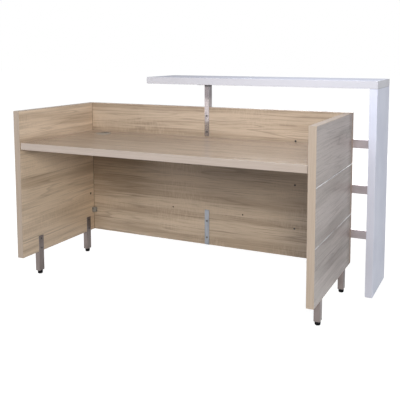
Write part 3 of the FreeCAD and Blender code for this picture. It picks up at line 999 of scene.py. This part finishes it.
@dataclass
class Fasteners:
    """The groups of screws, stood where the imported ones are, and the fittings that keep their solids."""

    large: Screw = MACHINE_SCREW
    small: Screw = WOOD_SCREW
    first_spin: float = 0.3
    next_spin: float = 0.7

    def build(self) -> None:
        """Makes a piece for each group of screws and dresses the other fittings."""
        zinc = ZINC.put_on("zinc_plate", "panel_cam_bolts", "counter_cam_bolts")
        large = ("leg_screws", "post_screws", "strip_screws", "bar_screws")
        small = ("bracket_screws", "head_plate_screws", "block_screws", "end_plate_screws")
        kinds = {**dict.fromkeys(large, self.large), **dict.fromkeys(small, self.small)}
        for node, kind in kinds.items():
            grids = [self.place(kind, points, k) for k, points in enumerate(solids_of(node))]
            piece = grid_piece(f"{node}_threaded", grids)
            finish_piece(piece, "desk", "zinc_steel", zinc, node)
        CAST_ZINC.put_on("cast_zinc", "panel_cams", "counter_cams")
        TurnedWood(Axis.Y).put_on("beech_level", "panel_dowels")
        TurnedWood(Axis.Z).put_on("beech_upright", "counter_dowels")
        BLACK.put_on("black_moulding", "cover_caps", "bar_plugs", "end_panel_glides")
        GREY.put_on("grey_moulding", "left_corner_block", "right_corner_block")

    def place(self, kind: Screw, points: Array, order: int) -> Array:
        """A screw in the place of a packed one.

        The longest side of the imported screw's box is its axis. Its head is at the end whose points lie
        farthest from that axis.

        Args:
            kind: the screw to stand there.
            points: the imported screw's points.
            order: its place in the group, which sets how far its recess is turned.

        Returns:
            The screw's grid.
        """
        low, high = points.min(axis=0), points.max(axis=0)
        axis = int(np.argmax(high - low))
        middle = (low + high) / 2
        away = np.linalg.norm(np.delete(points - middle, axis, axis=1), axis=1)
        sign = 1.0 if points[np.argmax(away), axis] > middle[axis] else -1.0
        out = np.zeros(3)
        out[axis] = sign
        at = middle.copy()
        at[axis] = (high if sign > 0 else low)[axis] - sign * kind.rise
        length = high[axis] - low[axis] - kind.rise
        return stood(kind.surface(length), at, out, self.next_spin * order + self.first_spin)


FOOT_PROFILE = (
    (0.60, 0.00, 0.0), (0.84, 0.00, 0.0), (0.91, 0.05, 0.0), (0.95, 0.12, 0.0), (0.98, 0.27, 0.0),
    (0.98, 0.32, 0.0), (0.95, 0.34, 0.0), (0.95, 0.38, 0.0), (1.00, 0.41, 1.0), (1.00, 0.90, 1.0),
    (0.98, 0.96, 0.5), (0.92, 1.00, 0.0), (0.40, 1.00, 0.0),
)


@dataclass
class LevellingFoot:
    """One levelling foot: a cup-shaped base with a ribbed grip, and a threaded stem.

    Cuts are shares of the radius, and so is the length of the stem's narrowed upper end.
    """

    corner: str
    segments: int = 72
    ribs: int = 24
    rib_cut: float = 0.05
    stem_segments: int = 24
    pitch: float = 0.00125
    pitch_rows: int = 6
    thread_cut: float = 0.15
    end_cut: float = 0.3
    end_length: float = 0.4

    def build(self, black: Material, zinc: Material) -> None:
        """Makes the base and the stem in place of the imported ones."""
        foot = f"{self.corner}_foot"
        low, high = corners_of(f"{foot}_base")
        middle = np.array([*(low + high)[:2] / 2, 0.0])
        base = grid_piece(f"{foot}_pad", [self.base((high - low)[0] / 2, high[2]) + middle])
        finish_piece(base, foot, "black_plastic", black, f"{foot}_base")
        low, high = corners_of(f"{foot}_stem")
        stem = grid_piece(f"{foot}_thread", [self.stem((high - low)[0] / 2, low[2], high[2]) + middle])
        finish_piece(stem, foot, "zinc_steel", zinc, f"{foot}_stem")

    def base(self, radius: float, height: float) -> Array:
        """The foot's base.

        A profile is turned round: a rounded sole, a groove and a straight grip. Its rows are shares of the
        radius, the height and the ribs' cut. That cut, times the root of a rectified sine of the angle,
        lowers the radius and leaves upright ribs.

        Args:
            radius: the base's largest radius.
            height: its height.

        Returns:
            A grid of points from the floor up.
        """
        turn = full_turn(self.segments)
        wide, tall, ribbed = np.array(FOOT_PROFILE).T[..., None]
        ribs = np.abs(np.sin(self.ribs / 2 * turn)) ** 0.5
        ring = wide * radius * (1 - self.rib_cut * ribbed * ribs)
        return turned(ring, tall * height * np.ones_like(turn), turn)

    def stem(self, radius: float, low: float, high: float) -> Array:
        """The stem: a rod whose radius follows the thread's triangle wave.

        Args:
            radius: the thread's crest.
            low: the height of its lower end.
            high: the height of its upper end.

        Returns:
            A grid of points from the lower end up.
        """
        turn = full_turn(self.stem_segments)
        rise = np.linspace(low, high, int((high - low) / self.pitch * self.pitch_rows))
        thread = radius * (1 - self.thread_cut * thread_wave(rise, turn, self.pitch))
        left = np.clip((high - rise) / (self.end_length * radius), 0.0, 1.0)
        end = 1 - self.end_cut * (1 - left)
        return turned(thread * end[:, None], np.repeat(rise[:, None], len(turn), axis=1), turn)


@dataclass
class Grommet:
    """The cable grommet in the worktop: a turning cap in a liner."""

    margin: float = 0.0008

    def dress(self) -> None:
        """Gives the cap a darker colour than the liner, and paints the liner black round the cap as painted
        shade of the recess.
        """
        DARK_SILVER.put_on("silver_cap", "grommet_cap")
        low, high = corners_of("grommet_cap")
        bore = Bore(tuple((low + high)[:2] / 2), (high - low)[0] / 2 + self.margin)
        # The liner is painted black round the cap as painted shade of the recess.
        replace(SILVER, bore=bore).put_on("silver_liner", "grommet_liner")


@dataclass(frozen=True)
class Lamp:
    """A square soft lamp: where it hangs, the point that it faces, its side, its power and its tint."""

    name: str
    at: Point
    to: Point
    size: float
    watts: float
    tint: Colour

    def hang(self) -> None:
        """Adds the lamp to the scene."""
        data = bpy.data.lights.new(self.name, "AREA")
        data.size, data.energy, data.color = self.size, self.watts, self.tint
        lamp = linked(self.name, data)
        lamp.location = self.at
        aim = np.array(self.to) - np.array(self.at)
        yaw, tilt = math.atan2(aim[0], -aim[1]), math.acos(-aim[2] / np.linalg.norm(aim))
        lamp.rotation_euler = (tilt, 0.0, yaw + math.pi)


LAMPS = (
    Lamp("key", (3.2, -5.9, 3.3), (-0.2, 0.0, 0.6), 2.2, 225.0, (1.0, 0.95, 0.83)),
    Lamp("knee", (-2.9, -3.4, 0.7), (0.6, 0.3, 0.45), 1.2, 22.0, (1.0, 0.96, 0.96)),
    Lamp("front", (-0.9, -4.6, 3.0), (0.2, 0.0, 0.6), 1.6, 88.0, (0.82, 0.90, 1.0)),
    Lamp("fill", (5.0, -3.4, 0.8), (-0.6, 0.0, 0.4), 1.6, 36.0, (1.0, 0.90, 0.74)),
    Lamp("side", (5.2, -1.7, 0.9), (0.8, 0.0, 0.5), 1.4, 60.0, (0.74, 0.87, 1.0)),
    Lamp("top", (1.9, -0.6, 2.9), (0.6, 0.0, 0.6), 1.8, 13.0, (0.75, 0.86, 1.0)),
    Lamp("over", (0.62, -0.42, 1.95), (0.6, -0.1, 0.76), 0.6, 8.0, (0.78, 0.86, 1.0)),
    Lamp("rear", (-0.8, 4.8, 2.5), (0.0, 0.4, 0.6), 2.0, 85.0, (1.0, 0.99, 0.97)),
    Lamp("left", (-4.8, 0.2, 2.0), (-0.9, 0.0, 0.5), 1.6, 40.0, (1.0, 0.99, 0.97)),
)


@dataclass
class Studio:
    """The floor, the light and the camera. The floor's glow is a strength at a distance, near and far."""

    eye: Point = (1.48458, -2.99657, 1.23584)
    yaw: float = 25.070
    pitch: float = -5.886
    focal_pixels: float = 629.0
    centre_pixels: tuple[float, float] = (216.0, 118.0)
    sensor: float = 36.0
    ambient: float = 0.12
    ambient_colour: Colour = (0.86, 0.92, 1.0)
    floor_half: float = 30.0
    floor_colour: Colour = (0.20, 0.20, 0.20)
    floor_shown: Colour = (0.45, 0.45, 0.45)
    glow_near: tuple[float, float] = (0.84, 1.2)
    glow_far: tuple[float, float] = (0.97, 5.0)

    def build(self) -> None:
        """Sets up all three."""
        bpy.context.scene.view_settings.view_transform = "Standard"
        self.camera()
        self.world()
        self.floor()
        for lamp in LAMPS:
            lamp.hang()

    def camera(self) -> None:
        """Puts the camera at the photograph's viewpoint."""
        data = bpy.data.cameras.new("camera")
        data.sensor_width = self.sensor
        data.sensor_fit = "HORIZONTAL"
        data.lens = self.focal_pixels * self.sensor / IMAGE_PIXELS
        data.shift_x = (IMAGE_PIXELS / 2 - self.centre_pixels[0]) / IMAGE_PIXELS
        data.shift_y = (self.centre_pixels[1] - IMAGE_PIXELS / 2) / IMAGE_PIXELS
        camera = linked("camera", data)
        turn = Matrix.Rotation(math.radians(self.yaw), 4, "Z")
        tilt = Matrix.Rotation(math.radians(90 + self.pitch), 4, "X")
        camera.matrix_world = Matrix.Translation(self.eye) @ turn @ tilt
        bpy.context.scene.camera = camera

    @staticmethod
    def seen(tree: Tree) -> Socket:
        """1 for rays from the camera, from gloss and through glass; returns the socket."""
        path = tree.add("LightPath").outputs
        direct = tree.math("MAXIMUM", path["Is Camera Ray"], path["Is Glossy Ray"])
        return tree.math("MAXIMUM", direct, path["Is Transmission Ray"])

    def world(self) -> None:
        """A white surround to look at, and an even soft light to see by."""
        world = bpy.data.worlds.new("studio")
        world.use_nodes = True
        bpy.context.scene.world = world
        world.node_tree.nodes.clear()
        tree = Tree(world.node_tree)
        even = {"Color": (*self.ambient_colour, 1.0), "Strength": self.ambient}
        soft = tree.add("Background", even).outputs[0]
        white = tree.add("Background", {"Color": WHITE, "Strength": 1.0}).outputs[0]
        both = tree.add("MixShader", {0: self.seen(tree), 1: soft, 2: white}).outputs[0]
        tree.add("OutputWorld", {"Surface": both})

    def floor(self) -> None:
        """A pale floor that shows white with the desk's soft shadow."""
        half = self.floor_half
        mesh = bpy.data.meshes.new("floor")
        corners = [(-half, -half, 0), (half, -half, 0), (half, half, 0), (-half, half, 0)]
        mesh.from_pydata(corners, [], [(0, 1, 2, 3)])
        floor = linked("floor", mesh)
        material = bpy.data.materials.new("pale_floor")
        material.use_nodes = True
        material.node_tree.nodes.clear()
        tree = Tree(material.node_tree)
        matt = tree.add("BsdfDiffuse", {"Color": (*self.floor_colour, 1.0)}).outputs[0]
        shown = tree.add("BsdfDiffuse", {"Color": (*self.floor_shown, 1.0)}).outputs[0]
        where = tree.add("TexCoord").outputs[Reading.PLACE.value]
        away = tree.vector("LENGTH", where)["Value"]
        (weak, near), (strong, far) = self.glow_near, self.glow_far
        level = tree.ramp(away, near, far, weak, strong)
        glow = tree.add("Emission", {"Color": WHITE, "Strength": level}).outputs[0]
        pale = tree.add("AddShader", {0: shown, 1: glow}).outputs[0]
        both = tree.add("MixShader", {0: self.seen(tree), 1: matt, 2: pale}).outputs[0]
        tree.add("OutputMaterial", {"Surface": both})
        mesh.materials.append(material)


def main() -> None:
    """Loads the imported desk, dresses it and sets up the studio."""
    logging.basicConfig(level=logging.INFO, format="%(message)s")
    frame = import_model()
    LOG.info("loaded %d nodes", len(frame["nodes"]))
    Studio().build()
    Boards().dress()
    SteelWork().dress()
    Fasteners().build()
    black = BLACK.put_on("foot_moulding", *(f"{corner}_leg_plug" for corner in CORNERS))
    zinc = ZINC.material("stem_plate")
    for corner in CORNERS:
        LevellingFoot(corner).build(black, zinc)
    Grommet().dress()


if __name__ == "__main__":
    main()
